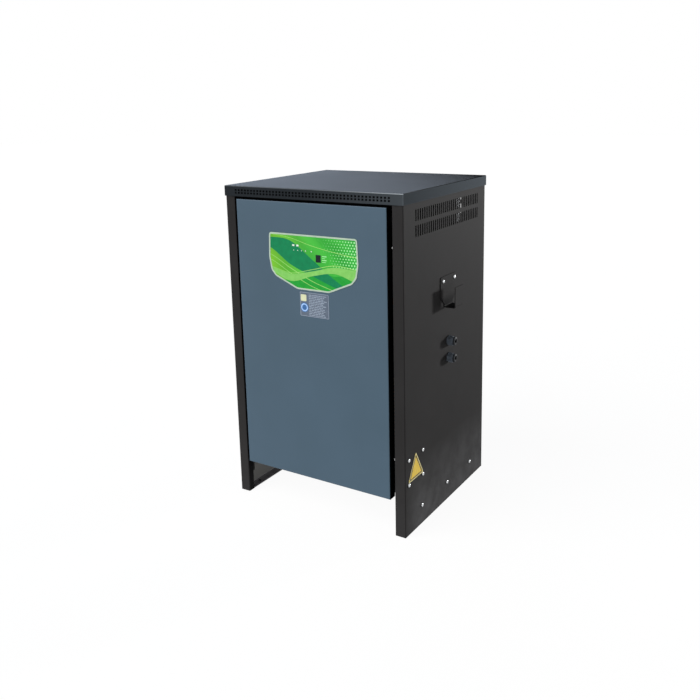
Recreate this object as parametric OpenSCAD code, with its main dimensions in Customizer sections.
// Floor-standing cabinet charger for traction batteries.
// Units are millimetres. +X is the cabinet's right side, +Y its rear, +Z up.
// The origin lies on the floor, at the centre of the whole footprint, cable hook included.

/* [Cabinet] */
// Width over the two side panels
cabinet_w = 552; // [530:1:600]
// Depth from the front pillars to the rear panel's outer face
cabinet_d = 494; // [460:1:540]
// Height from the floor to the top of the cover
cabinet_h = 900; // [890:1:960]
// Thickness of the cabinet's folded sheet
sheet = 1.5; // [1.2:0.1:2]
// Outside radius of every fold in the cabinet
fold_r = 2.6; // [2.4:0.1:3.2]

/* [Side panels] */
// Width of the pillar that each side panel forms at the front
pillar_w = 31; // [26:1:32]
// Depth of the pillar's return, behind its face
pillar_return = 20.5; // [14:0.5:24]
// Width of the flange that the rear panel is screwed to
rear_flange = 26; // [22:1:32]
// Width of the foot flange on the floor
foot_flange = 30; // [28:1:40]
// Width of the flange that carries the cover
top_flange = 18; // [14:1:24]
// Radius of an anchor hole in the foot flange
anchor_r = 5.5; // [4:0.5:6]
// Distance between the two anchor holes of one foot
anchor_pitch = 360; // [300:5:380]

/* [Ventilation slots] */
// Width of one slot
slot_w = 6; // [4:0.5:7]
// Length of one slot, round ends included
slot_l = 30; // [24:1:34]
// Distance from one slot to the next
slot_pitch = 12; // [11:0.5:13]
// Gap between the two rows of slots
slot_row_gap = 10; // [8:1:14]
// Number of slots in one row of a side panel
slot_count = 32; // [20:1:33]
// Distance from the cabinet's top to the upper row
slot_top = 45; // [42:1:60]
// How far the row's middle lies behind the cabinet's middle
slot_field_y = 4.5; // [0:0.5:16]
// Number of slots in one row of the rear panel
rear_slot_count = 34; // [20:1:36]

/* [Top cover] */
// How far the cover stands out past the cabinet on every side
cover_overhang = 2; // [2:0.1:6]
// Height of the cover's folded lip
cover_lip = 28.5; // [26:0.5:36]
// Width of one hole in the front lip
lip_hole_w = 6; // [4:0.5:7]
// Height of one hole in the front lip
lip_hole_h = 5; // [3:0.5:5.5]
// Distance from one hole to the next
lip_hole_pitch = 10.6; // [9:0.1:11.2]
// Distance between the two rows of holes
lip_row_pitch = 7.5; // [6.5:0.1:8]
// Number of holes in one row
lip_hole_count = 46; // [30:1:47]
// Distance from the cover's top to the upper row's middle
lip_hole_top = 11.5; // [8:0.5:12]

/* [Front panel] */
// Gap between the front panel and each pillar
panel_gap = 10.5; // [10:0.1:14]
// Gap between the front panel and the cover's lip
panel_top_gap = 6; // [3:0.5:8]
// Height of the front panel's lower edge above the floor
panel_bottom = 101; // [95:0.5:115]
// How far the front panel stands out in front of the pillars
panel_proud = 7; // [4:0.5:10]
// Height of the lower fixing ears
ear_low_z = 206; // [180:1:260]
// Distance from the front panel's top edge to the upper fixing ears
ear_drop = 101.5; // [76.5:1:166.5]
// Height of one ear
ear_h = 22; // [16:1:28]
// How far the pillar's tab reaches behind the front panel
tab_reach = 14; // [13:0.5:18]

/* [Control overlay] */
// Largest width of the printed overlay
overlay_w = 281; // [260:1:300]
// Height of the overlay
overlay_h = 147; // [135:1:155]
// Thickness of the overlay
overlay_t = 0.8; // [0.5:0.1:1.2]
// Sideways place of the overlay's middle
overlay_x = 12; // [0:1:20]
// Distance from the front panel's top edge to the overlay's
overlay_drop = 83; // [66:1:106]
// Width of the display window
window_w = 16; // [14:1:20]
// Height of the display window
window_h = 20; // [16:1:24]
// Sideways place of the display window, from the overlay's middle
window_x = 19; // [10:1:40]
// Distance from the overlay's top to the display window's middle
window_drop = 60; // [50:1:80]
// Width of one square lamp
square_lamp_w = 7; // [6:0.5:9]
// Height of one square lamp
square_lamp_h = 4.5; // [4:0.5:7]
// Radius of one round lamp
lamp_r = 2; // [1.5:0.1:2.5]
// Spacing of the round lamps
lamp_pitch = 12.4; // [12:0.1:15]
// Extra room before the last round lamp
last_lamp_gap = 6; // [0:0.5:8]
// Sideways place of the first lamp, from the overlay's middle
lamp_x = -58; // [-70:1:-56]
// Distance from the overlay's top to the round lamps
lamp_drop = 43; // [38:1:48]
// Distance from the overlay's top to the square lamps
square_lamp_drop = 30; // [24:1:34]

/* [Small label] */
// Width of the small label
label_w = 92; // [80:1:110]
// Height of the small label
label_h = 66; // [50:1:70]
// Thickness of the small label
label_t = 0.4; // [0.2:0.1:0.8]
// Distance from the overlay's lower edge to the label's middle
label_drop = 38.5; // [37:0.5:77]

/* [Triangle plate] */
// Side length of the triangle, before its corners are rounded
triangle_side = 84; // [70:1:86]
// Thickness of the plate
triangle_t = 0.6; // [0.4:0.1:1]
// Corner radius of the plate
triangle_r = 3; // [2:0.5:5]

/* [Cable hook] */
// Width of the hook's wall plate
hook_w = 94; // [84:1:110]
// Height of the wall plate's top edge above the floor
hook_top = 655; // [645:1:670]
// Height of the hook's shelf above the floor
hook_shelf_z = 570; // [540:1:575]
// Width of the hook's tongue
tongue_w = 50; // [36:1:60]
// How far the tongue stands out from the side panel
hook_reach = 34; // [28:1:45]
// Height of the tongue's upturned end above the shelf
tongue_h = 56; // [40:1:62]
// Thickness of the hook
hook_t = 2; // [1.5:0.1:2.4]
// Distance between the hook's two screws
hook_screw_pitch = 68; // [60:1:76]
// Depth place of the hook, from the cabinet's middle
hook_y = 1; // [-6:0.5:12]

/* [Cable glands] */
// Depth place of the glands, from the cabinet's middle
gland_y = 6.5; // [0:0.5:14]
// Height of the upper gland
gland_z = 470; // [455:1:480]
// Distance between the two glands
gland_pitch = 48.5; // [40:0.5:60]
// Thread diameter of a gland
gland_thread = 20; // [18:0.5:22]
// Width across the flats of a gland
gland_flats = 25; // [24.5:0.5:28]
// Length of a gland outside the wall
gland_out = 22; // [20.5:0.5:26]
// Radius of the seal's cable hole
gland_bore_r = 5.5; // [4:0.1:6]

/* [Base] */
// Height of the base tray's top face
base_z = 118; // [112:1:126]
// Thickness of the base tray's sheet
base_sheet = 2.5; // [2:0.1:3]
// Height of the base screws above the floor
base_screw_z = 53; // [44:1:60]
// Distance between the base screws of one side
base_screw_pitch = 153; // [130:1:160]
// How far the base screws' middle lies behind the cabinet's middle
base_screw_y = -2.5; // [-8:0.5:12]
// Distance from the pillars' faces to the base tray's front edge
base_setback = 50; // [40:1:60]

/* [Transformer] */
// Width of one leg of the core
leg_w = 50; // [44:1:54]
// Distance from one leg to the next
leg_pitch = 115; // [112:1:122]
// Height of the core's windows
window_core_h = 170; // [150:1:180]
// Thickness of the core's stack of laminations
stack_d = 85; // [70:1:90]
// Radial thickness of one winding
winding_t = 25; // [18:1:25]
// Height of the core's lower edge above the base
core_lift = 8; // [6:1:14]
// Sideways place of the transformer
transformer_x = -20; // [-40:1:0]
// Depth place of the transformer
transformer_y = -50; // [-60:1:-40]

/* [Component plate] */
// Depth place of the component plate's front face
plate_y = 110; // [105:1:120]
// Thickness of the component plate
plate_t = 2; // [1.5:0.1:2.5]
// Width of the component plate
plate_w = 500; // [480:1:520]
// Distance from the cabinet's top to the component plate's top edge
plate_drop = 50; // [38:1:55]

/* [Rectifier] */
// Width of the heatsink
sink_w = 220; // [210:1:240]
// Height of the heatsink
sink_h = 180; // [170:1:200]
// Height of the heatsink's middle
sink_z = 520; // [510:1:530]
// Sideways place of the heatsink
sink_x = -70; // [-90:1:-60]
// Depth of the heatsink's fins
fin_d = 45; // [30:1:60]
// Thickness of one fin
fin_t = 2.5; // [2:0.1:3]
// Number of fins
fin_count = 20; // [12:1:22]
// Distance between rectifier modules
module_pitch = 62; // [56:1:66]

/* [Contactor] */
// Height of the contactor bracket's middle
bracket_z = 176; // [168:0.5:180]
// Distance from the pillars' faces to the bracket's middle
bracket_setback = 57.5; // [56:0.5:62]
// Distance between the bracket's screws, front to back
bracket_pitch_y = 77; // [74:1:82]
// Distance between the bracket's screws, up and down
bracket_pitch_z = 69; // [60:1:76]
// Depth of the bracket
bracket_d = 20; // [16:1:30]
// Thickness of the bracket
bracket_t = 1.6; // [1.5:0.1:2]

/* [Fuse rail] */
// Height of the fuse rail's middle
rail_z = 760; // [750:1:775]
// Length of the fuse rail
rail_l = 300; // [280:1:340]
// Width of one fuse holder
holder_w = 18; // [16:0.5:20]

/* [Control board] */
// Width of the control board
board_w = 220; // [200:1:240]
// Height of the control board
board_h = 120; // [110:1:130]
// Thickness of the control board
board_t = 1.6; // [1:0.1:2]
// Length of the board's spacers
spacer_l = 12; // [10:1:16]

/* [Screws] */
// Thread diameter of the panel screws
panel_screw_d = 5; // [4:0.1:5.2]
// Thread diameter of the side screws
side_screw_d = 5; // [4.8:0.1:6]
// Radial play of a screw in its hole
hole_play = 0.25; // [0.15:0.05:0.4]
// Radial play between a thread and its nut
thread_play = 0.05; // [0.04:0.01:0.1]

/* [Hidden] */
$fn = 48;
eps = 0.01;
fit = 0.2;

// Cabinet faces and levels
half_w = cabinet_w / 2;
front_y = -cabinet_d / 2;
rear_y = cabinet_d / 2;
flange_y = rear_y - sheet;
deck_z = cabinet_h - sheet;
pillar_top = deck_z - 0.3;
inner_x = half_w - sheet;
pillar_in = half_w - pillar_w;
tab_y = front_y + pillar_return - sheet;
run_start = front_y + 2 * fold_r;
run_end = flange_y - 2 * fold_r;

// The whole footprint's centre, with the hook and the front panel
shift_x = (hook_reach - cover_overhang) / 2;
shift_y = (cover_overhang - max(panel_proud, cover_overhang)) / 2;

// Front panel
panel_half = pillar_in - panel_gap;
panel_top = cabinet_h - cover_lip - panel_top_gap;
ear_high_z = panel_top - ear_drop;
panel_y = front_y - panel_proud;
panel_depth = tab_y - panel_y;
ear_x = pillar_in - panel_gap / 2;
ear_play = 0.8;
ear_inset = 2;

// Front rail and rear panel, between the mid-planes of their sheet
front_rail_d = 21;
front_rail_h = 51;
rear_lip = 14.75;
rear_low_slots = 120;

// Overlay
overlay_top = panel_top - overlay_drop;
overlay_z = overlay_top - overlay_h / 2;
label_z = overlay_top - overlay_h - label_drop;
window_at = [window_x, -window_drop];
square_lamp_pitch = 13.4;
overlay_corner_r = 8;

// Base tray
tray_half = inner_x - fit;
tray_front = front_y + base_setback;
tray_rear = flange_y - rear_flange;
base_screw_margin = 18;
tray_side_drop = base_z - base_screw_z + base_screw_margin;
tray_end_drop = 26;
base_r = base_sheet + 1.5;
base_nut_seat = tray_half - base_sheet;

// Transformer
yoke_h = leg_w;
core_z = base_z + core_lift;
core_w = 2 * leg_pitch + leg_w;
core_h = window_core_h + 2 * yoke_h;
bobbin_t = 2;
cheek_t = 3;
core_play = 0.5;
winding_w = leg_w + 2 * (core_play + bobbin_t + winding_t);
winding_d = stack_d + 2 * (core_play + bobbin_t + winding_t);
window_z = core_z + yoke_h;
clamp_t = 4;
clamp_leg = 46;
clamp_foot = 40;
clamp_l = core_w + 40;
core_bolt_d = 10;
hex_bolt_d = 8;

// Component plate
plate_top = cabinet_h - plate_drop;
plate_half = plate_w / 2;
plate_flange = 18;
plate_foot = 30;
plate_r = plate_t + 1;
sink_base_t = 10;
sink_lap = 10;
sink_front = plate_y - sink_base_t;
sink_window_w = sink_w - 2 * sink_lap;
sink_window_h = sink_h - 2 * sink_lap;
rectifier_size = [34, 30, 94];
module_hole_z = 40;
terminal_pitch = 22;
busbar_t = 4;
busbar_h = 20;

fuse_x = sink_x + sink_w / 2 + 60;
fuse_drop = 70;
fuse_rise = terminal_pitch;
fuse_margin = 26;
fuse_board_t = 8;
fuse_board_w = 40;
link_t = 3;
fuse_front = sink_front - rectifier_size[1] - busbar_t - link_t;
module_flange_t = 3;
rail_x = sink_x + 60;
rail_t = 1;
rail_d = 7.5;
rail_front = plate_y - rail_d;

// Control board, behind the front panel
board_face = panel_y + sheet + spacer_l;
board_z = overlay_z;

// Contactor: its width, and the depth and half height of each step of its body
bracket_y = front_y + bracket_setback;
contactor_w = 44;
contactor_steps = [[34, 36], [62, 42], [80, 22]];
contactor_wire_r = 3.5;
contactor_wire_pitch = 13;

// Fuse holders and terminal block, from the rail's face
holder_d = 44;
holder_h = 80;
lever_d = 16;
lever_h = 48;
terminal_d = 38;
terminal_h = 52;
terminal_way = 12;
terminal_ways = 7;
entry_r = 3;

// Cable glands, measured from the wall's outer face
gland_hex_h = 8;
gland_neck_r = 8.5;
gland_inner_r = 7;
gland_neck_top = 14;
gland_shoulder = gland_out - 5;
locknut_h = 5;

// Screws
head_share = 1.85;
head_rise = 0.62;
nut_share = 0.8;
flats_share = 1.63;

// Extrudes a drawing whose axes are Y and Z, from one X to another
module along_x(x0, x1) {
    translate([x0, 0, 0]) rotate([90, 0, 90]) linear_extrude(x1 - x0) children();
}

// Extrudes a drawing whose axes are X and Z, from one Y to another
module along_y(y0, y1) {
    translate([0, y1, 0]) rotate([90, 0, 0]) linear_extrude(y1 - y0) children();
}

// Extrudes a drawing whose axes are X and Y, from one Z to another
module along_z(z0, z1) {
    translate([0, 0, z0]) linear_extrude(z1 - z0) children();
}

// Moves the cabinet, drawn about its own middle, to the footprint's centre
module in_place() {
    translate([-shift_x, -shift_y, 0]) children();
}

// Section of a sheet folded at right angles along a path through its mid-plane
module folded_section(path, t, r) {
    last = len(path) - 1;
    bend = r - t / 2;
    for (i = [0:last - 1]) {
        a = path[i];
        b = path[i + 1];
        start = i == 0 ? 0 : bend;
        end = i == last - 1 ? 0 : bend;
        translate(a)
            rotate(atan2(b[1] - a[1], b[0] - a[0]))
                translate([start, -t / 2])
                    square([norm(b - a) - start - end, t]);
    }
    for (i = [1:last - 1]) fold_corner(path[i - 1], path[i], path[i + 1], t, bend);
}

// One bend of that section, a quarter of a ring
module fold_corner(before, corner, after, t, bend) {
    to_before = (before - corner) / norm(before - corner);
    to_after = (after - corner) / norm(after - corner);
    centre = corner + bend * (to_before + to_after);
    reach = -(bend + t) * (to_before + to_after);
    intersection() {
        translate(centre) difference() {
            circle(bend + t / 2);
            circle(bend - t / 2);
        }
        translate([min(centre[0], centre[0] + reach[0]), min(centre[1], centre[1] + reach[1])])
            square([abs(reach[0]), abs(reach[1])]);
    }
}

// Side view of a tray: a face below, two walls rising from it, folds of radius r
module tray_profile(w, h, r) {
    translate([-w / 2, r]) square([w, h - r]);
    translate([-w / 2 + r, 0]) square([w - 2 * r, h]);
    for (side = [-1, 1]) translate([side * (w / 2 - r), r]) circle(r);
}

// The solid block that a tray fills
module tray_block(w, l, h, r) {
    intersection() {
        along_x(-w / 2, w / 2) tray_profile(l, h, r);
        along_y(-l / 2, l / 2) tray_profile(w, h, r);
    }
}

// A tray folded from one sheet: its face on z = 0, its four walls rising to h
module tray(w, l, h) {
    difference() {
        tray_block(w, l, h, fold_r);
        translate([0, 0, sheet])
            tray_block(w - 2 * sheet, l - 2 * sheet, h, fold_r - sheet);
    }
}

// A slot with round ends, upright, centred on the origin of the drawing
module slot(w, l) {
    square([w, l - w], center = true);
    for (end = [-1, 1]) translate([0, end * (l - w) / 2]) circle(w / 2);
}

// Two rows of upright slots, centred sideways, with the upper row's top at v = 0
module slot_field(count) {
    for (row = [0, 1])
        for (i = [0:count - 1])
            translate([
                (i - (count - 1) / 2) * slot_pitch,
                -slot_l / 2 - row * (slot_l + slot_row_gap)
            ])
                slot(slot_w, slot_l);
}

// A polygon whose corners are rounded, each corner's radius given beside its point
module rounded_polygon(corners, radius) {
    count = len(corners);
    polygon([
        for (i = [0:count - 1])
            each corner_arc(
                corners[(i + count - 1) % count], corners[i], corners[(i + 1) % count], radius[i]
            )
    ]);
}

// Points of the arc that rounds one corner
function corner_arc(before, corner, after, r, steps = 6) =
    let (
        u = (before - corner) / norm(before - corner),
        v = (after - corner) / norm(after - corner),
        half = acos(u * v) / 2,
        middle = (u + v) / norm(u + v),
        centre = corner + middle * r / sin(half),
        a0 = corner + u * r / tan(half) - centre,
        a1 = corner + v * r / tan(half) - centre,
        start = atan2(a0[1], a0[0]),
        turn = wrapped(atan2(a1[1], a1[0]) - start)
    )
    [for (k = [0:steps]) centre + r * [cos(start + turn * k / steps), sin(start + turn * k / steps)]];

// An angle brought between -180 and 180 degrees
function wrapped(angle) = angle > 180 ? angle - 360 : angle < -180 ? angle + 360 : angle;

// A pan-head screw standing on z = 0, its shank below, with a crossed recess in its flat crown
module screw(d, shank) {
    head_r = d * head_share / 2;
    head_h = d * head_rise;
    round_r = 0.55 * head_h;
    difference() {
        union() {
            rotate_extrude() {
                square([head_r, head_h - round_r]);
                square([head_r - round_r, head_h]);
                intersection() {
                    translate([head_r - round_r, head_h - round_r]) circle(round_r);
                    square([head_r, head_h]);
                }
            }
            translate([0, 0, -shank]) cylinder(r = d / 2, h = shank + eps);
        }
        for (turn = [0, 90])
            rotate(turn)
                translate([-d * 0.4, -d * 0.08, head_h * 0.4])
                    cube([d * 0.8, d * 0.16, head_h]);
    }
}

// A hexagonal nut standing on z = 0
module nut(d) {
    difference() {
        cylinder(d = d * flats_share / cos(30), h = d * nut_share, $fn = 6);
        translate([0, 0, -eps]) cylinder(r = d / 2 + thread_play, h = d * nut_share + 2 * eps);
    }
}

// Turns +Z to face right, left, front or rear
module facing_right() rotate([0, 90, 0]) children();
module facing_left() rotate([0, -90, 0]) children();
module facing_front() rotate([90, 0, 0]) children();
module facing_rear() rotate([-90, 0, 0]) children();

// Drills a hole of diameter d through the side wall at [y, z]
module side_hole(at, r) {
    translate([inner_x - 10, at[0], at[1]]) facing_right() cylinder(r = r, h = sheet + 20);
}

// Places of the screws in one side panel, as [y, z]
function base_screw_places() =
    [for (i = [-1:1]) [base_screw_y + i * base_screw_pitch, base_screw_z]];
function hook_screw_places() =
    [for (side = [-1, 1]) [hook_y + side * hook_screw_pitch / 2, hook_top - 12]];
function bracket_screw_places() = [
    for (v = [-1, 1], u = [-1, 1])
        [bracket_y + u * bracket_pitch_y / 2, bracket_z + v * bracket_pitch_z / 2]
];
function gland_places() = [for (i = [0, 1]) [gland_y, gland_z - i * gland_pitch]];
function ear_places() =
    [for (side = [-1, 1], z = [ear_low_z, ear_high_z]) [side * ear_x, z]];
function rear_screw_places() = [
    for (side = [-1, 1], share = [0.05, 0.35, 0.65, 0.94])
        [side * (half_w - rear_flange / 2), panel_bottom + share * (deck_z - panel_bottom)]
];
function cover_screw_places() =
    [for (side = [-1, 0, 1]) [side * cabinet_w * 0.36, cabinet_h - cover_lip * 0.6]];

// The right side panel's folded sheet, before its holes
module side_sheet() {
    outer = half_w - sheet / 2;
    along_z(0, pillar_top) folded_section([
        [pillar_in + sheet / 2, front_y + pillar_return],
        [pillar_in + sheet / 2, front_y + sheet / 2],
        [outer, front_y + sheet / 2],
        [outer, run_start]
    ], sheet, fold_r);
    along_y(run_start - eps, run_end + eps) folded_section([
        [half_w - foot_flange, sheet / 2],
        [outer, sheet / 2],
        [outer, deck_z - sheet / 2],
        [half_w - top_flange, deck_z - sheet / 2]
    ], sheet, fold_r);
    along_z(0, pillar_top) folded_section([
        [outer, run_end],
        [outer, flange_y - sheet / 2],
        [half_w - rear_flange, flange_y - sheet / 2]
    ], sheet, fold_r);
    for (z = [ear_low_z, ear_high_z])
        translate([pillar_in - tab_reach, tab_y, z - ear_h / 2])
            cube([tab_reach + sheet, sheet, ear_h]);
}

// Holes that both side panels have
module side_common_holes() {
    along_x(inner_x - 1, half_w + 1)
        translate([slot_field_y, cabinet_h - slot_top]) slot_field(slot_count);
    for (at = base_screw_places()) side_hole(at, side_screw_d / 2 + hole_play);
    for (end = [-1, 1])
        translate([half_w - foot_flange / 2, end * anchor_pitch / 2, -1])
            cylinder(r = anchor_r, h = sheet + 2);
    for (z = [ear_low_z, ear_high_z])
        translate([ear_x, tab_y + sheet + 1, z])
            facing_front() cylinder(r = panel_screw_d / 2 + thread_play, h = sheet + 2);
    for (at = rear_screw_places())
        translate([abs(at[0]), flange_y + 1, at[1]])
            facing_front() cylinder(r = panel_screw_d / 2 + thread_play, h = sheet + 2);
}

module side_panel_left() {
    color([0.19, 0.19, 0.19]) mirror([1, 0, 0]) difference() {
        side_sheet();
        side_common_holes();
    }
}

module side_panel_right() {
    color([0.2, 0.2, 0.2]) difference() {
        side_sheet();
        side_common_holes();
        for (at = hook_screw_places()) side_hole(at, side_screw_d / 2 + hole_play);
        for (at = bracket_screw_places()) side_hole(at, side_screw_d / 2 + hole_play);
        for (at = gland_places()) side_hole(at, gland_thread / 2 + hole_play);
    }
}

module top_cover() {
    w = cabinet_w + 2 * cover_overhang;
    l = cabinet_d + 2 * cover_overhang;
    color([0.24, 0.27, 0.29]) difference() {
        translate([0, 0, cabinet_h]) rotate([180, 0, 0]) tray(w, l, cover_lip);
        along_y(-l / 2 - 1, -l / 2 + sheet + 1)
            for (row = [0, 1])
                for (i = [0:lip_hole_count - 1])
                    translate([
                        (i - (lip_hole_count - 1) / 2) * lip_hole_pitch,
                        cabinet_h - lip_hole_top - row * lip_row_pitch
                    ])
                        square([lip_hole_w, lip_hole_h], center = true);
        for (at = cover_screw_places())
            translate([at[0], l / 2 + 1, at[1]])
                facing_front() cylinder(r = panel_screw_d / 2 + hole_play, h = sheet + 2);
    }
}

module front_panel() {
    color([0.32, 0.4, 0.45]) difference() {
        union() {
            translate([0, panel_y, (panel_bottom + panel_top) / 2])
                rotate([-90, 0, 0])
                    tray(2 * panel_half, panel_top - panel_bottom, panel_depth);
            for (side = [0, 1], z = [ear_low_z, ear_high_z])
                mirror([side, 0, 0])
                    translate([panel_half - sheet, tab_y - sheet, z - ear_h / 2 + ear_inset])
                        cube([panel_gap + sheet - ear_play, sheet, ear_h - 2 * ear_inset]);
        }
        for (at = ear_places())
            translate([at[0], tab_y + 1, at[1]])
                facing_front() cylinder(r = panel_screw_d / 2 + hole_play, h = sheet + 2);
        along_y(panel_y - 1, panel_y + sheet + 1) translate([overlay_x, overlay_top]) {
            translate(window_at) square([window_w - 2, window_h - 2], center = true);
            for (at = square_lamp_places())
                translate(at) square([square_lamp_w + fit, square_lamp_h + fit], center = true);
            for (at = round_lamp_places()) translate(at) circle(lamp_r + fit / 2);
        }
    }
}

// Lamps on the overlay, from the overlay's middle and top
function square_lamp_places() =
    [for (i = [0, 1]) [lamp_x - 1 + i * square_lamp_pitch, -square_lamp_drop]];
function round_lamp_places() =
    [for (i = [0:4]) [lamp_x + i * lamp_pitch + (i == 4 ? last_lamp_gap : 0), -lamp_drop]];

module rear_panel() {
    w = 2 * (half_w - 2 * fold_r);
    lip_w = 2 * (half_w - rear_flange - 2 * fold_r);
    top = deck_z - 1;
    color([0.18, 0.18, 0.18]) difference() {
        union() {
            translate([-w / 2, flange_y, panel_bottom]) cube([w, sheet, top - panel_bottom]);
            along_x(-lip_w / 2, lip_w / 2) folded_section([
                [rear_y - sheet / 2 - rear_lip, panel_bottom + sheet / 2],
                [rear_y - sheet / 2, panel_bottom + sheet / 2],
                [rear_y - sheet / 2, panel_bottom + 3 * fold_r]
            ], sheet, fold_r);
        }
        rear_cuts(lip_w, w);
    }
}

// Slots and screw holes of the rear panel, and the sharp edge below its folded lip
module rear_cuts(lip_w, w) {
    along_y(flange_y - 1, rear_y + 1)
        for (top = [cabinet_h - slot_top, panel_bottom + rear_low_slots])
            translate([0, top]) slot_field(rear_slot_count);
    for (at = rear_screw_places())
        translate([at[0], rear_y + 1, at[1]])
            facing_front() cylinder(r = panel_screw_d / 2 + hole_play, h = sheet + 2);
    for (at = cover_screw_places())
        translate([at[0], rear_y + 1, at[1]])
            facing_front() cylinder(r = panel_screw_d / 2 + thread_play, h = sheet + 2);
    along_x(-lip_w / 2, lip_w / 2) difference() {
        translate([rear_y - fold_r, panel_bottom - 1]) square([fold_r + 1, fold_r + 1]);
        translate([rear_y - fold_r, panel_bottom + fold_r]) circle(fold_r);
    }
}

module base_tray() {
    run = 2 * base_r;
    skin = base_z - base_sheet / 2;
    color([0.22, 0.22, 0.22]) difference() {
        union() {
            along_y(tray_front + run - eps, tray_rear - run + eps) folded_section([
                [-tray_half + base_sheet / 2, base_z - tray_side_drop],
                [-tray_half + base_sheet / 2, skin],
                [tray_half - base_sheet / 2, skin],
                [tray_half - base_sheet / 2, base_z - tray_side_drop]
            ], base_sheet, base_r);
            along_x(-tray_half + run, tray_half - run) folded_section([
                [tray_front + base_sheet / 2, base_z - tray_end_drop],
                [tray_front + base_sheet / 2, skin],
                [tray_front + run, skin]
            ], base_sheet, base_r);
            along_x(-tray_half + run, tray_half - run) folded_section([
                [tray_rear - run, skin],
                [tray_rear - base_sheet / 2, skin],
                [tray_rear - base_sheet / 2, base_z - tray_end_drop]
            ], base_sheet, base_r);
        }
        for (side = [-1, 1]) for (at = base_screw_places())
            translate([side * (tray_half - base_sheet / 2), at[0], at[1]])
                facing_right()
                    cylinder(r = side_screw_d / 2 + hole_play, h = base_sheet + 4, center = true);
        for (at = concat(foot_bolt_places(), plate_bolt_places()))
            translate([at[0], at[1], base_z - base_sheet - 1])
                cylinder(r = hex_bolt_d / 2 + hole_play, h = base_sheet + 2);
        along_z(base_z - base_sheet - 1, base_z + 1)
            for (side = [-1, 1])
                translate([transformer_x + side * leg_pitch / 2, transformer_y])
                    for (i = [-4:4]) translate([i * slot_pitch, 0]) slot(slot_w, stack_d - 12);
    }
}

module front_rail() {
    web = front_y + pillar_return + sheet / 2;
    rear = web + front_rail_d;
    top = deck_z - sheet - fit - sheet / 2;
    bottom = top - front_rail_h;
    color([0.17, 0.17, 0.17]) along_x(fold_r - inner_x, inner_x - fold_r)
        folded_section([[rear, bottom], [web, bottom], [web, top], [rear, top]], sheet, fold_r);
}

module component_plate() {
    run = 2 * plate_r;
    middle = plate_y + plate_t / 2;
    color([0.62, 0.63, 0.64]) difference() {
        union() {
            along_z(base_z + run - eps, plate_top) folded_section([
                [-plate_half + plate_t / 2, plate_y + plate_flange],
                [-plate_half + plate_t / 2, middle],
                [plate_half - plate_t / 2, middle],
                [plate_half - plate_t / 2, plate_y + plate_flange]
            ], plate_t, plate_r);
            along_x(-plate_half + run, plate_half - run) folded_section([
                [middle, base_z + run],
                [middle, base_z + plate_t / 2],
                [plate_y + plate_foot, base_z + plate_t / 2]
            ], plate_t, plate_r);
        }
        translate([sink_x - sink_window_w / 2, plate_y - 1, sink_z - sink_window_h / 2])
            cube([sink_window_w, plate_t + 2, sink_window_h]);
        for (at = plate_bolt_places())
            translate([at[0], at[1], base_z - 1])
                cylinder(r = hex_bolt_d / 2 + hole_play, h = plate_t + 2);
        for (at = concat(sink_screw_places(), rail_screw_places(), fuse_screw_places()))
            translate([at[0], plate_y - 1, at[1]])
                facing_rear() cylinder(r = panel_screw_d / 2 + thread_play, h = plate_t + 2);
    }
}

// Screws in the component plate, as [x, z], and the bolts of its foot, as [x, y]
function plate_bolt_places() =
    [for (i = [-1:1]) [i * plate_half * 0.8, plate_y + plate_foot / 2 + plate_r]];
function sink_screw_places() = [
    for (u = [-1, 1], v = [-1, 1])
        [sink_x + u * (sink_w - sink_lap) / 2, sink_z + v * (sink_h - sink_lap) / 2]
];
function rail_screw_places() = [for (u = [-1, 1]) [rail_x + u * (rail_l / 2 - 12), rail_z]];
function fuse_screw_places() =
    [for (z = [-fuse_drop - fuse_margin, fuse_margin]) [fuse_x, sink_z + fuse_rise + z]];
function module_screw_places() =
    [for (i = [0:2], v = [-1, 1]) [module_x(i), sink_z + v * module_hole_z]];
function terminal_places(level) = [for (i = [0:2]) [module_x(i), sink_z + level * terminal_pitch]];

// The overlay's outline: a shield, widest in its lower third, with rounded corners
module overlay_outline() {
    w = overlay_w / 2;
    h = overlay_h;
    half = [[0.98 * w, 0], [w, -0.46 * h], [0.955 * w, -0.69 * h], [0.86 * w, -0.8 * h], [0.36 * w, -h]];
    radius = [overlay_corner_r, 30, 14, 14, 24];
    left = [for (i = [len(half) - 1:-1:0]) [-half[i][0], half[i][1]]];
    left_radius = [for (i = [len(half) - 1:-1:0]) radius[i]];
    rounded_polygon(concat(half, left), concat(radius, left_radius));
}

module control_overlay() {
    color([0.25, 0.65, 0.3]) along_y(panel_y - overlay_t, panel_y)
        translate([overlay_x, overlay_top]) difference() {
            overlay_outline();
            translate(window_at) square([window_w, window_h], center = true);
            for (at = square_lamp_places())
                translate(at) square([square_lamp_w + fit, square_lamp_h + fit], center = true);
            for (at = round_lamp_places()) translate(at) circle(lamp_r + fit / 2);
        }
}

module display_window() {
    color([0.05, 0.06, 0.07]) along_y(panel_y - overlay_t, panel_y)
        translate([overlay_x, overlay_top])
            translate(window_at) square([window_w - fit, window_h - fit], center = true);
}

module square_lamps() {
    color([0.92, 0.95, 0.92])
        along_y(panel_y - overlay_t - 0.3, board_face)
            translate([overlay_x, overlay_top])
                for (at = square_lamp_places())
                    translate(at) square([square_lamp_w, square_lamp_h], center = true);
}

module round_lamps() {
    color([0.75, 0.9, 0.7]) for (at = round_lamp_places())
        translate([overlay_x + at[0], board_face, overlay_top + at[1]])
            facing_front() rotate_extrude() {
                square([lamp_r, board_face - panel_y + overlay_t - lamp_r * 0.4]);
                intersection() {
                    translate([0, board_face - panel_y + overlay_t - lamp_r * 0.4]) circle(lamp_r * 0.8);
                    square([lamp_r, board_face - panel_y + overlay_t + lamp_r]);
                }
            }
}

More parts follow.
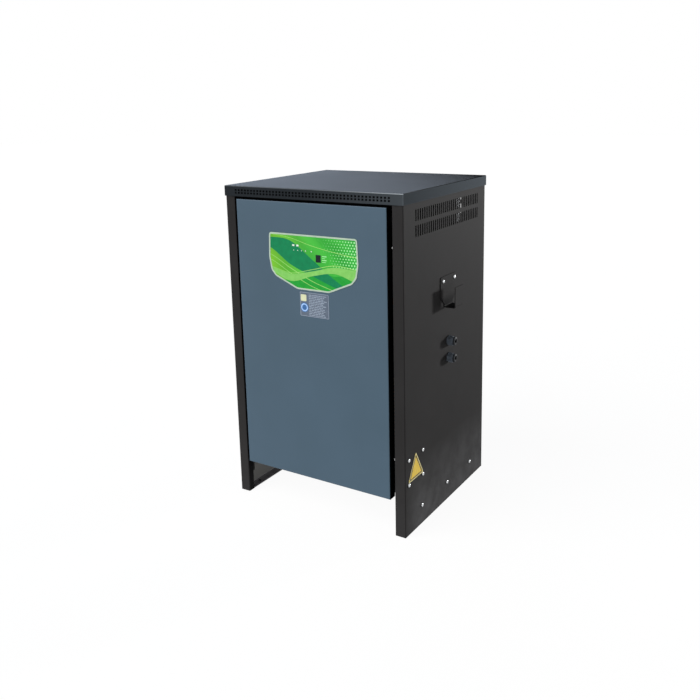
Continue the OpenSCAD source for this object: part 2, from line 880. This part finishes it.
// Places of the board's four spacers, as [x, z]
function board_hole_places() = [
    for (u = [-1, 1], v = [-1, 1]) [overlay_x + u * (board_w / 2 - 8), board_z + v * (board_h / 2 - 8)]
];

module control_board() {
    color([0.1, 0.4, 0.2]) difference() {
        translate([overlay_x - board_w / 2, board_face, board_z - board_h / 2])
            cube([board_w, board_t, board_h]);
        for (at = board_hole_places())
            translate([at[0], board_face + board_t + 1, at[1]])
                facing_front() cylinder(r = 2, h = board_t + 2);
    }
}

module board_spacers() {
    color([0.7, 0.7, 0.72]) for (at = board_hole_places())
        translate([at[0], panel_y + sheet, at[1]]) facing_rear() {
            cylinder(d = 7, h = spacer_l, $fn = 6);
            cylinder(r = 1.8, h = spacer_l + board_t + 3);
        }
}

module display_module() {
    color([0.12, 0.12, 0.13])
        along_y(panel_y + sheet, board_face) translate([overlay_x, overlay_top])
            translate(window_at) square([window_w, window_h], center = true);
}

module board_connectors() {
    way = 5.7;
    ways = 6;
    spacing = 44;
    color([0.2, 0.55, 0.3]) for (i = [0:3])
        translate([overlay_x - 90 + i * spacing, board_face + board_t, board_z - board_h / 2 + 3])
            difference() {
                cube([ways * way + 2, 12, 14]);
                for (k = [0:ways - 1])
                    translate([1.5 + k * way, 2, -1]) cube([4, 8, 8]);
            }
}

module board_relays() {
    relay = [19, 15.5, 28];
    spacing = 32;
    color([0.15, 0.3, 0.6]) for (i = [0:2])
        translate([overlay_x - 80 + i * spacing, board_face + board_t, board_z + 10]) cube(relay);
}

module small_label() {
    color([0.72, 0.75, 0.78]) along_y(panel_y - label_t, panel_y)
        translate([overlay_x + 2, label_z])
            rounded_polygon(
                [[-label_w / 2, -label_h / 2], [label_w / 2, -label_h / 2],
                 [label_w / 2, label_h / 2], [-label_w / 2, label_h / 2]],
                [3, 3, 3, 3]
            );
}

module triangle_plate() {
    rise = triangle_side * sqrt(3) / 2;
    base = bracket_z - bracket_pitch_z / 2 + side_screw_d * head_share / 2 + 0.6;
    color([0.92, 0.8, 0.3]) along_x(half_w, half_w + triangle_t)
        translate([bracket_y, base])
            rounded_polygon(
                [[-triangle_side / 2, 0], [triangle_side / 2, 0], [0, rise]],
                [triangle_r, triangle_r, triangle_r]
            );
}

module cable_hook() {
    skin = half_w + hook_t / 2;
    shelf = hook_shelf_z + hook_t / 2;
    tip = half_w + hook_reach - hook_t / 2;
    waist = hook_shelf_z + 3 * hook_t + 4;
    r = 2.5 * hook_t;
    color([0.2, 0.21, 0.22]) difference() {
        union() {
            along_x(half_w, half_w + hook_t) translate([hook_y, 0]) rounded_polygon(
                [[-tongue_w / 2, waist], [tongue_w / 2, waist], [hook_w / 2, waist + 18],
                 [hook_w / 2, hook_top], [-hook_w / 2, hook_top], [-hook_w / 2, waist + 18]],
                [0.5, 0.5, 6, 6, 6, 6]
            );
            along_y(hook_y - tongue_w / 2, hook_y + tongue_w / 2) folded_section([
                [skin, waist + 4], [skin, shelf], [tip, shelf], [tip, shelf + tongue_h]
            ], hook_t, r);
        }
        for (at = hook_screw_places())
            translate([half_w - 1, at[0], at[1]])
                facing_right() cylinder(r = side_screw_d / 2 + hole_play, h = hook_t + 2);
    }
}

// Puts a gland's piece, drawn with its axis up and the wall's outer face on z = 0, in the wall
module gland_at(i) {
    at = gland_places()[i];
    translate([half_w, at[0], at[1]]) facing_right() children();
}

module gland_body(i) {
    color([0.16, 0.17, 0.18]) gland_at(i) difference() {
        union() {
            cylinder(d = gland_flats / cos(30), h = gland_hex_h, $fn = 6);
            cylinder(r = gland_neck_r, h = gland_neck_top);
            translate([0, 0, -sheet - locknut_h - 3])
                cylinder(r = gland_thread / 2, h = sheet + locknut_h + 3 + eps);
        }
        translate([0, 0, -20]) cylinder(r = gland_inner_r, h = 60);
    }
}

module gland_cap(i) {
    dome = 4;
    grip = gland_out - dome;
    low = gland_hex_h + 0.5;
    cap_w = gland_flats - 1;
    color([0.15, 0.16, 0.17]) gland_at(i) difference() {
        union() {
            translate([0, 0, low]) cylinder(d = cap_w / cos(30), h = grip - gland_hex_h - 5, $fn = 6);
            translate([0, 0, low]) cylinder(d = cap_w, h = grip - low);
            translate([0, 0, grip]) rotate_extrude() {
                square([cap_w / 2 - dome, dome]);
                intersection() {
                    translate([cap_w / 2 - dome, 0]) circle(dome);
                    square([cap_w, dome]);
                }
            }
        }
        cylinder(r = gland_neck_r + 0.1, h = gland_shoulder);
        cylinder(r = gland_inner_r + 0.2, h = gland_out + 1);
    }
}

module gland_seal(i) {
    low = gland_hex_h + 2;
    color([0.06, 0.06, 0.06]) gland_at(i) difference() {
        union() {
            translate([0, 0, low]) cylinder(r = gland_inner_r - 0.05, h = gland_out - 1 - low);
            translate([0, 0, gland_neck_top])
                cylinder(r = gland_neck_r, h = gland_shoulder - gland_neck_top);
        }
        cylinder(r = gland_bore_r, h = gland_out + 1);
    }
}

module gland_locknut(i) {
    locknut_w = gland_thread + 6;
    color([0.2, 0.2, 0.21]) gland_at(i) difference() {
        translate([0, 0, -sheet - locknut_h]) cylinder(d = locknut_w / cos(30), h = locknut_h, $fn = 6);
        translate([0, 0, -20]) cylinder(r = gland_thread / 2 + thread_play, h = 20);
    }
}

// Transformer: legs at these places along X
function leg_places() = [for (i = [-1:1]) transformer_x + i * leg_pitch];
function core_bolt_places() = [
    for (side = [-1, 1], level = [0, 1])
        [transformer_x + side * leg_pitch / 2, core_z + yoke_h / 2 + level * (core_h - yoke_h)]
];
function foot_bolt_places() = [
    for (u = [-1, 1], v = [-1, 1])
        [
            transformer_x + u * (clamp_l / 2 - 14),
            transformer_y + v * (stack_d / 2 + clamp_t + (clamp_foot - clamp_t) / 2)
        ]
];

module transformer_core() {
    color([0.35, 0.36, 0.38]) difference() {
        along_y(transformer_y - stack_d / 2, transformer_y + stack_d / 2) difference() {
            translate([transformer_x - core_w / 2, core_z]) square([core_w, core_h]);
            for (side = [-1, 1])
                translate([transformer_x + side * leg_pitch / 2, window_z + window_core_h / 2])
                    square([leg_pitch - leg_w, window_core_h], center = true);
        }
        for (at = core_bolt_places())
            translate([at[0], transformer_y, at[1]])
                facing_front() cylinder(r = core_bolt_d / 2 + hole_play, h = stack_d + 2, center = true);
    }
}

module bobbin(i) {
    inner = [leg_w + 2 * core_play, stack_d + 2 * core_play];
    tube = [inner[0] + 2 * bobbin_t, inner[1] + 2 * bobbin_t];
    cheek = [winding_w - 2, winding_d - 2];
    color([0.85, 0.8, 0.68]) translate([leg_places()[i], transformer_y, 0]) difference() {
        union() {
            along_z(window_z + 1, window_z + window_core_h - 1) square(tube, center = true);
            for (z = [window_z + 1, window_z + window_core_h - 1 - cheek_t])
                along_z(z, z + cheek_t) square(cheek, center = true);
        }
        along_z(window_z, window_z + window_core_h) square(inner, center = true);
    }
}

module winding(i) {
    play = 0.2;
    inner = [leg_w, stack_d] + [1, 1] * 2 * (core_play + bobbin_t + play);
    outer = [winding_w - 2, winding_d - 2];
    low = window_z + 1 + cheek_t;
    high = window_z + window_core_h - 1 - cheek_t;
    band = 12;
    groove = 1.2;
    corner_r = 18;
    color([0.62, 0.34, 0.18]) translate([leg_places()[i], transformer_y, 0]) difference() {
        along_z(low, high) rounded_rectangle(outer, corner_r);
        along_z(low - 1, high + 1) square(inner, center = true);
        for (z = [low + band:band:high - band])
            along_z(z, z + groove) difference() {
                square([winding_w, winding_d], center = true);
                rounded_rectangle(outer - [2, 2], corner_r - 1);
            }
    }
}

// A rectangle with true arcs at its corners, centred
module rounded_rectangle(size, r) {
    square([size[0] - 2 * r, size[1]], center = true);
    square([size[0], size[1] - 2 * r], center = true);
    for (u = [-1, 1], v = [-1, 1])
        translate([u * (size[0] / 2 - r), v * (size[1] / 2 - r)]) circle(r);
}

// Angle bar along the core; face is -1 for the front and 1 for the rear, level 0 or 1
module core_clamp(face, level) {
    near = transformer_y + face * (stack_d / 2 + clamp_t / 2);
    far = transformer_y + face * (stack_d / 2 + clamp_foot);
    seat = level == 0 ? base_z + clamp_t / 2 : core_z + core_h - clamp_t / 2;
    tip = level == 0 ? base_z + clamp_leg : core_z + core_h - clamp_leg;
    color([0.5, 0.51, 0.53]) difference() {
        along_x(transformer_x - clamp_l / 2, transformer_x + clamp_l / 2)
            folded_section([[near, tip], [near, seat], [far, seat]], clamp_t, clamp_t + 2);
        for (at = core_bolt_places())
            translate([at[0], near, at[1]])
                facing_front() cylinder(r = core_bolt_d / 2 + hole_play, h = clamp_t + 2, center = true);
        if (level == 0)
            for (at = foot_bolt_places())
                translate([at[0], at[1], base_z - 1])
                    cylinder(r = hex_bolt_d / 2 + hole_play, h = clamp_t + 2);
    }
}

module core_bolts() {
    grip = stack_d + 2 * clamp_t;
    color([0.75, 0.75, 0.77]) for (at = core_bolt_places())
        translate([at[0], transformer_y - grip / 2, at[1]]) facing_front() {
            cylinder(d = core_bolt_d * flats_share / cos(30), h = core_bolt_d * 0.65, $fn = 6);
            translate([0, 0, -grip - core_bolt_d])
                cylinder(r = core_bolt_d / 2, h = grip + core_bolt_d + eps);
            translate([0, 0, -grip - core_bolt_d * nut_share]) nut(core_bolt_d);
        }
}

// Hexagon bolts of one size: transformer feet, component plate's foot and fuse
module hex_bolts() {
    color([0.75, 0.75, 0.77]) {
        for (at = foot_bolt_places())
            translate([at[0], at[1], base_z + clamp_t]) nutted_bolt(clamp_t + base_sheet);
        for (at = plate_bolt_places())
            translate([at[0], at[1], base_z + plate_t]) nutted_bolt(plate_t + base_sheet);
        for (drop = [0, fuse_drop])
            translate([fuse_x, fuse_front, sink_z + fuse_rise - drop])
                facing_front() hex_bolt(busbar_t + link_t + 12);
    }
}

module hex_bolt(shank) {
    cylinder(d = hex_bolt_d * flats_share / cos(30), h = hex_bolt_d * 0.65, $fn = 6);
    translate([0, 0, -shank]) cylinder(r = hex_bolt_d / 2, h = shank + eps);
}

module nutted_bolt(grip) {
    hex_bolt(grip + hex_bolt_d);
    translate([0, 0, -grip - hex_bolt_d * nut_share]) nut(hex_bolt_d);
}

module heatsink() {
    end = 3;
    pitch = (sink_window_w - 2 * end - fin_t) / (fin_count - 1);
    first = sink_x - sink_window_w / 2 + end;
    fin_h = sink_window_h - 4;
    color([0.7, 0.71, 0.73]) difference() {
        union() {
            translate([sink_x - sink_w / 2, sink_front, sink_z - sink_h / 2])
                cube([sink_w, sink_base_t, sink_h]);
            for (i = [0:fin_count - 1])
                translate([first + i * pitch, plate_y - eps, sink_z - fin_h / 2])
                    cube([fin_t, fin_d + eps, fin_h]);
        }
        for (at = module_screw_places())
            translate([at[0], sink_front - 1, at[1]])
                facing_rear() cylinder(r = panel_screw_d / 2 + thread_play, h = 9);
        for (at = sink_screw_places())
            translate([at[0], sink_front - 1, at[1]])
                facing_rear() cylinder(r = panel_screw_d / 2 + hole_play, h = sink_base_t + 2);
    }
}

function module_x(i) = sink_x + (i - 1) * module_pitch;

module rectifier_module(i) {
    size = rectifier_size;
    color([0.9, 0.89, 0.85]) translate([module_x(i), sink_front, sink_z]) difference() {
        union() {
            translate([-size[0] / 2, -module_flange_t, -size[2] / 2])
                cube([size[0], module_flange_t, size[2]]);
            translate([-size[0] / 2 + 1, -size[1] + 6, -size[2] / 2 + 13])
                cube([size[0] - 2, size[1] - 6, size[2] - 26]);
            for (level = [-1:1])
                translate([-9, -size[1], level * terminal_pitch - 8]) cube([18, size[1], 16]);
        }
        for (v = [-1, 1])
            translate([0, 1, v * module_hole_z])
                facing_front() cylinder(r = panel_screw_d / 2 + hole_play, h = module_flange_t + 2);
        for (level = [-1:1])
            translate([0, -size[1] + 12, level * terminal_pitch])
                facing_front() cylinder(r = panel_screw_d / 2 + thread_play, h = 14);
    }
}

module busbar() {
    face = sink_front - rectifier_size[1];
    color([0.75, 0.45, 0.25]) difference() {
        translate([module_x(0) - 10, face - busbar_t, sink_z + fuse_rise - busbar_h / 2])
            cube([fuse_x - module_x(0) + 20, busbar_t, busbar_h]);
        for (at = terminal_places(1))
            translate([at[0], face + 1, at[1]])
                facing_front() cylinder(r = panel_screw_d / 2 + hole_play, h = busbar_t + 2);
        translate([fuse_x, face + 1, sink_z + fuse_rise])
            facing_front() cylinder(r = hex_bolt_d / 2 + hole_play, h = busbar_t + 2);
    }
}

module fuse_base() {
    depth = sink_base_t + rectifier_size[1];
    post = 28;
    end = 8;
    low = sink_z + fuse_rise - fuse_drop - fuse_margin - end;
    color([0.55, 0.25, 0.18]) difference() {
        union() {
            for (drop = [0, fuse_drop])
                translate([fuse_x - post / 2, plate_y - depth, sink_z + fuse_rise - drop - post / 2])
                    cube([post, depth, post]);
            translate([fuse_x - fuse_board_w / 2, plate_y - fuse_board_t, low])
                cube([fuse_board_w, fuse_board_t, fuse_drop + 2 * (fuse_margin + end)]);
        }
        for (drop = [0, fuse_drop])
            translate([fuse_x, plate_y - depth + 14, sink_z + fuse_rise - drop])
                facing_front() cylinder(r = hex_bolt_d / 2 + thread_play, h = 16);
        for (at = fuse_screw_places())
            translate([at[0], plate_y + 1, at[1]])
                facing_front() cylinder(r = panel_screw_d / 2 + hole_play, h = fuse_board_t + 2);
    }
}

module fuse_link() {
    tab = 18;
    body = tab + 2;
    body_d = 9;
    setback = 14;
    low = sink_z + fuse_rise - fuse_drop;
    color([0.75, 0.75, 0.78]) difference() {
        union() {
            translate([fuse_x - tab / 2, fuse_front, low - tab / 2])
                cube([tab, link_t, fuse_drop + tab]);
            translate([fuse_x - body / 2, fuse_front - body_d, low + setback])
                cube([body, body_d + 1, fuse_drop - 2 * setback]);
            translate([fuse_x - tab / 2, fuse_front, low - tab / 2])
                cube([tab, link_t + busbar_t, tab]);
        }
        for (drop = [0, fuse_drop])
            translate([fuse_x, fuse_front - 1, sink_z + fuse_rise - drop])
                facing_rear() cylinder(r = hex_bolt_d / 2 + hole_play, h = link_t + busbar_t + 2);
    }
}

module contactor_bracket() {
    wall = inner_x - bracket_t / 2;
    web = inner_x - bracket_d;
    span = bracket_pitch_y / 2;
    lap = 11;
    bend_in = 13;
    height = bracket_pitch_z + 2 * lap;
    color([0.6, 0.61, 0.62]) difference() {
        along_z(bracket_z - height / 2, bracket_z + height / 2) translate([0, bracket_y])
            folded_section([
                [wall, -span - lap], [wall, -span + bend_in], [web, -span + bend_in],
                [web, span - bend_in], [wall, span - bend_in], [wall, span + lap]
            ], bracket_t, 2 * bracket_t);
        for (at = bracket_screw_places())
            translate([inner_x - 4, at[0], at[1]])
                facing_right() cylinder(r = side_screw_d / 2 + hole_play, h = 5);
    }
}

module contactor() {
    foot = inner_x - bracket_d - bracket_t / 2;
    front = foot - contactor_steps[1][0];
    wire_z = contactor_steps[1][1] - 3 * contactor_wire_r + 0.5;
    color([0.13, 0.14, 0.15]) difference() {
        along_y(bracket_y - contactor_w / 2, bracket_y + contactor_w / 2)
            translate([foot, bracket_z])
                for (i = [0:2]) {
                    depth = contactor_steps[i][0];
                    half = contactor_steps[i][1];
                    before = i == 0 ? 0 : contactor_steps[i - 1][0] - eps;
                    translate([-depth, -half]) square([depth - before, 2 * half]);
                }
        for (v = [-1, 1]) for (u = [-1:1])
            translate([front - 1, bracket_y + u * contactor_wire_pitch, bracket_z + v * wire_z])
                facing_right() cylinder(r = contactor_wire_r, h = 8);
    }
}

module din_rail() {
    lip = rail_front + rail_t / 2;
    web = plate_y - rail_t / 2;
    color([0.78, 0.78, 0.8]) difference() {
        along_x(rail_x - rail_l / 2, rail_x + rail_l / 2)
            translate([0, rail_z]) folded_section([
                [lip, -17.5], [lip, -12.5], [web, -12.5],
                [web, 12.5], [lip, 12.5], [lip, 17.5]
            ], rail_t, 1.5 * rail_t);
        for (at = rail_screw_places())
            translate([at[0], plate_y + 1, at[1]])
                facing_front() cylinder(r = panel_screw_d / 2 + hole_play, h = rail_t + 2);
    }
}

module mains_fuse(i) {
    x = sink_x - 50 + i * (holder_w + 2 * fit);
    color([0.86, 0.86, 0.84]) difference() {
        along_x(x, x + holder_w) translate([rail_front, rail_z]) {
            translate([-holder_d, -holder_h / 2]) square([holder_d, holder_h]);
            translate([-holder_d - lever_d, -lever_h / 2]) square([lever_d + eps, lever_h]);
        }
        for (v = [-1, 1])
            translate([x + holder_w / 2, rail_front - holder_d - 1, rail_z + v * (holder_h + lever_h) / 4])
                facing_rear() cylinder(r = entry_r, h = 8);
    }
}

module terminal_block() {
    x = sink_x + 50;
    half = terminal_h / 2;
    slope = 2 * terminal_way / 3;
    front = rail_front - terminal_d;
    color([0.55, 0.57, 0.58]) difference() {
        along_x(x, x + terminal_ways * terminal_way) translate([front, rail_z]) polygon([
            [terminal_d, -half], [terminal_d, half], [slope, half],
            [0, half - terminal_way], [0, terminal_way - half], [slope, -half]
        ]);
        for (i = [0:terminal_ways - 1])
            for (v = [-1, 1]) {
                translate([x + (i + 0.5) * terminal_way, front - 1, rail_z + v * half / 3])
                    facing_rear() cylinder(r = entry_r, h = 6);
                translate([x + (i + 0.25) * terminal_way, front + terminal_way, rail_z])
                    translate([0, 0, v * half - entry_r])
                        cube([terminal_way / 2, 8, 2 * entry_r]);
            }
    }
}

// Pan-head screws in the two side panels: base, hook and contactor bracket
module side_screws() {
    color([0.85, 0.86, 0.86]) {
        for (side = [0, 1])
            mirror([side, 0, 0])
                for (at = base_screw_places())
                    side_screw(at, half_w, sheet + fit + base_sheet + side_screw_d);
        for (at = hook_screw_places()) side_screw(at, half_w + hook_t, hook_t + sheet + side_screw_d);
        for (at = bracket_screw_places()) side_screw(at, half_w, sheet + bracket_t + side_screw_d);
    }
}

module side_screw(at, seat, shank) {
    translate([seat, at[0], at[1]]) facing_right() screw(side_screw_d, shank);
}

module side_nuts() {
    color([0.78, 0.79, 0.8]) {
        for (side = [0, 1])
            mirror([side, 0, 0])
                for (at = base_screw_places()) side_nut(at, base_nut_seat);
        for (at = hook_screw_places()) side_nut(at, inner_x);
        for (at = bracket_screw_places()) side_nut(at, inner_x - bracket_t);
    }
}

module side_nut(at, seat) {
    translate([seat, at[0], at[1]]) facing_left() nut(side_screw_d);
}

// Screws on the component plate: heatsink, modules and their terminals, fuse rail, fuse base
module plate_screws() {
    top = sink_front - rectifier_size[1];
    tail = 3;
    terminal_thread = 10;
    color([0.82, 0.83, 0.83]) {
        plate_screw_row(sink_screw_places(), sink_front, sink_base_t + plate_t + tail);
        plate_screw_row(module_screw_places(), sink_front - module_flange_t, module_flange_t + 7);
        plate_screw_row(terminal_places(1), top - busbar_t, busbar_t + terminal_thread);
        plate_screw_row(concat(terminal_places(0), terminal_places(-1)), top, terminal_thread);
        plate_screw_row(rail_screw_places(), plate_y - rail_t, rail_t + plate_t + tail);
        plate_screw_row(fuse_screw_places(), plate_y - fuse_board_t, fuse_board_t + plate_t + tail);
    }
}

module plate_screw_row(places, seat_y, shank) {
    for (at = places)
        translate([at[0], seat_y, at[1]]) facing_front() screw(panel_screw_d, shank);
}

// Smaller screws that hold the front panel, the rear panel and the cover
module panel_screws() {
    tail = 5;
    color([0.8, 0.81, 0.82]) {
        for (at = ear_places())
            translate([at[0], tab_y - sheet, at[1]])
                facing_front() screw(panel_screw_d, 2 * sheet + tail);
        for (at = rear_screw_places())
            translate([at[0], rear_y, at[1]]) facing_rear() screw(panel_screw_d, 2 * sheet + tail);
        for (at = cover_screw_places())
            translate([at[0], rear_y + cover_overhang, at[1]])
                facing_rear() screw(panel_screw_d, cover_overhang + sheet + tail);
    }
}

in_place() side_panel_left();
in_place() side_panel_right();
in_place() top_cover();
in_place() front_panel();
in_place() rear_panel();
in_place() base_tray();
in_place() front_rail();
in_place() component_plate();
in_place() control_overlay();
in_place() display_window();
in_place() square_lamps();
in_place() round_lamps();
in_place() control_board();
in_place() board_spacers();
in_place() display_module();
in_place() board_connectors();
in_place() board_relays();
in_place() small_label();
in_place() triangle_plate();
in_place() cable_hook();
in_place() gland_body(0);  // gland_body_upper
in_place() gland_body(1);  // gland_body_lower
in_place() gland_cap(0);  // gland_cap_upper
in_place() gland_cap(1);  // gland_cap_lower
in_place() gland_seal(0);  // gland_seal_upper
in_place() gland_seal(1);  // gland_seal_lower
in_place() gland_locknut(0);  // gland_locknut_upper
in_place() gland_locknut(1);  // gland_locknut_lower
in_place() transformer_core();
in_place() bobbin(0);  // bobbin_left
in_place() bobbin(1);  // bobbin_centre
in_place() bobbin(2);  // bobbin_right
in_place() winding(0);  // winding_left
in_place() winding(1);  // winding_centre
in_place() winding(2);  // winding_right
in_place() core_clamp(-1, 0);  // core_clamp_lower_front
in_place() core_clamp(1, 0);  // core_clamp_lower_rear
in_place() core_clamp(-1, 1);  // core_clamp_upper_front
in_place() core_clamp(1, 1);  // core_clamp_upper_rear
in_place() core_bolts();
in_place() hex_bolts();
in_place() heatsink();
in_place() rectifier_module(0);  // rectifier_module_1
in_place() rectifier_module(1);  // rectifier_module_2
in_place() rectifier_module(2);  // rectifier_module_3
in_place() busbar();
in_place() fuse_base();
in_place() fuse_link();
in_place() contactor_bracket();
in_place() contactor();
in_place() din_rail();
in_place() mains_fuse(0);  // mains_fuse_1
in_place() mains_fuse(1);  // mains_fuse_2
in_place() mains_fuse(2);  // mains_fuse_3
in_place() terminal_block();
in_place() plate_screws();
in_place() side_screws();
in_place() side_nuts();
in_place() panel_screws();
